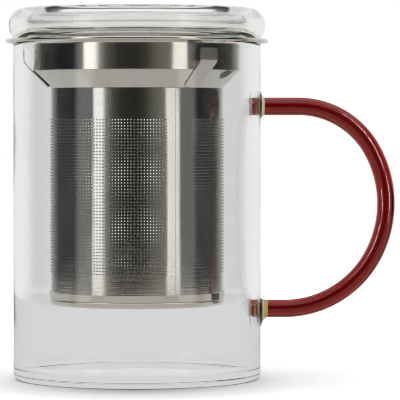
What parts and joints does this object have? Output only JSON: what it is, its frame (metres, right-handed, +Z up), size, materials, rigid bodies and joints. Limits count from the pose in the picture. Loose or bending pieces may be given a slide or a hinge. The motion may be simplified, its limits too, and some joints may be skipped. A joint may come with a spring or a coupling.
{
  "type": "lidded tea mug with infuser",
  "caption": "Straight clear glass tea mug with a red glass loop handle, a hanging perforated steel infuser basket and a loose rounded glass lid, for steeping loose tea.",
  "frame": {"origin": "centre of the cup's flat base, on the surface that it stands on", "axes": "+Z up along the cup's axis, +X towards the handle, the front faces -Y"},
  "size_m": [0.1322, 0.0892, 0.1257],
  "materials": {
    "clear_glass": "clear, fire-polished",
    "lid_glass": "clear, faint green in the thick rim",
    "red_glass": "deep transparent red",
    "amber_glass": "clear, amber towards the rod",
    "polished_steel": "polished",
    "mesh_steel": "bright rolled, fine etched holes",
    "clip_steel": "satin spring strip"
  },
  "bodies": {
    "cup": {"glass_cup": "clear_glass", "handle_rod": "red_glass", "upper_handle_pad": "amber_glass", "lower_handle_pad": "amber_glass"},
    "infuser": {"infuser_collar": "polished_steel", "basket_wall": "mesh_steel", "basket_base": "polished_steel", "front_clip_foot": "clip_steel", "rear_clip_foot": "clip_steel", "left_clip_foot": "clip_steel"},
    "lid": {"lid": "lid_glass"},
    "front_clip": {"front_clip_finger": "clip_steel"},
    "rear_clip": {"rear_clip_finger": "clip_steel"},
    "left_clip": {"left_clip_finger": "clip_steel"}
  },
  "joints": [
    {"name": "infuser_lift", "type": "slide", "parent": "cup", "child": "infuser", "axis": [0, 0, 1], "range_m": [0, 0.1]},
    {"name": "lid_lift", "type": "slide", "parent": "infuser", "child": "lid", "axis": [0, 0, 1], "range_m": [0, 0.04]},
    {"name": "front_clip_flex", "type": "hinge", "parent": "infuser", "child": "front_clip", "pos_m": [0.02168, -0.02775, 0.10438], "axis": [-0.788, -0.6157, 0], "range_deg": [0, 5], "stiffness_Nm_per_rad": 0.2, "springref_deg": -1.15},
    {"name": "rear_clip_flex", "type": "hinge", "parent": "infuser", "child": "rear_clip", "pos_m": [0.01319, 0.03266, 0.10438], "axis": [0.9272, -0.3746, 0], "range_deg": [0, 5], "stiffness_Nm_per_rad": 0.2, "springref_deg": -1.15},
    {"name": "left_clip_flex", "type": "hinge", "parent": "infuser", "child": "left_clip", "pos_m": [-0.03488, -0.0049, 0.10438], "axis": [-0.1392, 0.9903, 0], "range_deg": [0, 5], "stiffness_Nm_per_rad": 0.2, "springref_deg": -1.15}
  ]
}
